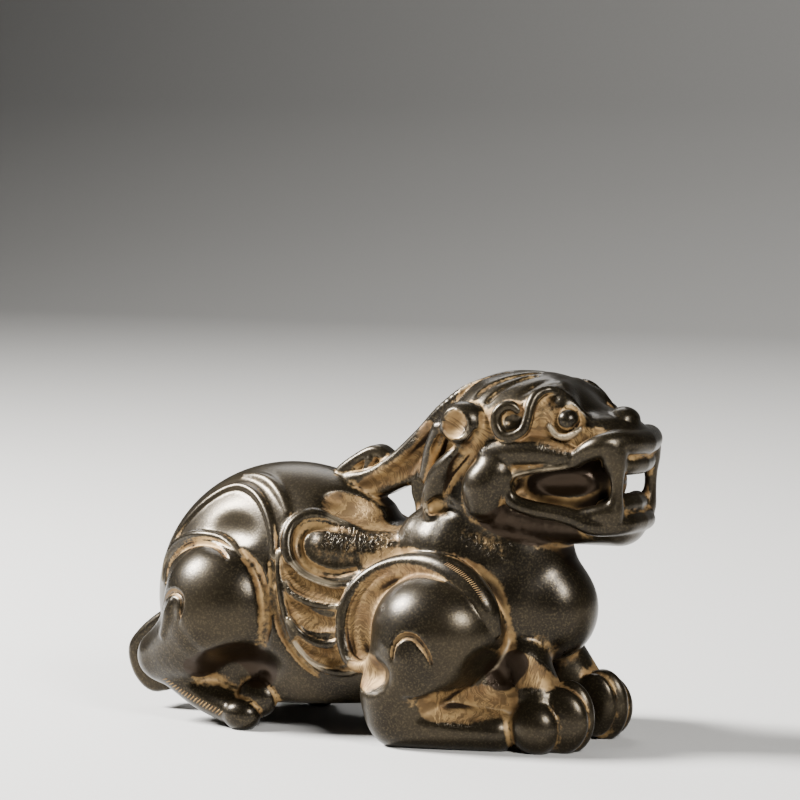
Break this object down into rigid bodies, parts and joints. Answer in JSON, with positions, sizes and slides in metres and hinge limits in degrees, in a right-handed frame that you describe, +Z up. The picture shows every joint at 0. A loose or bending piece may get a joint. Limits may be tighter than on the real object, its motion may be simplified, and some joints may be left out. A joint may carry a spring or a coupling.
{
  "type": "pixiu figure",
  "caption": "Small crouching winged beast with an open mouth, cast in brass as one piece, standing on its folded legs.",
  "frame": {"origin": "on the surface the figure stands on, under the middle of its box", "axes": "+X towards the figure's face, +Y towards its left side, +Z up"},
  "size_m": [0.109, 0.049, 0.0675],
  "materials": {
    "patinated_brass": "dark olive-brown patina, polished on the high forms, tan in the recesses"
  },
  "bodies": {
    "root": {"pixiu_figure": "patinated_brass"}
  },
  "joints": []
}
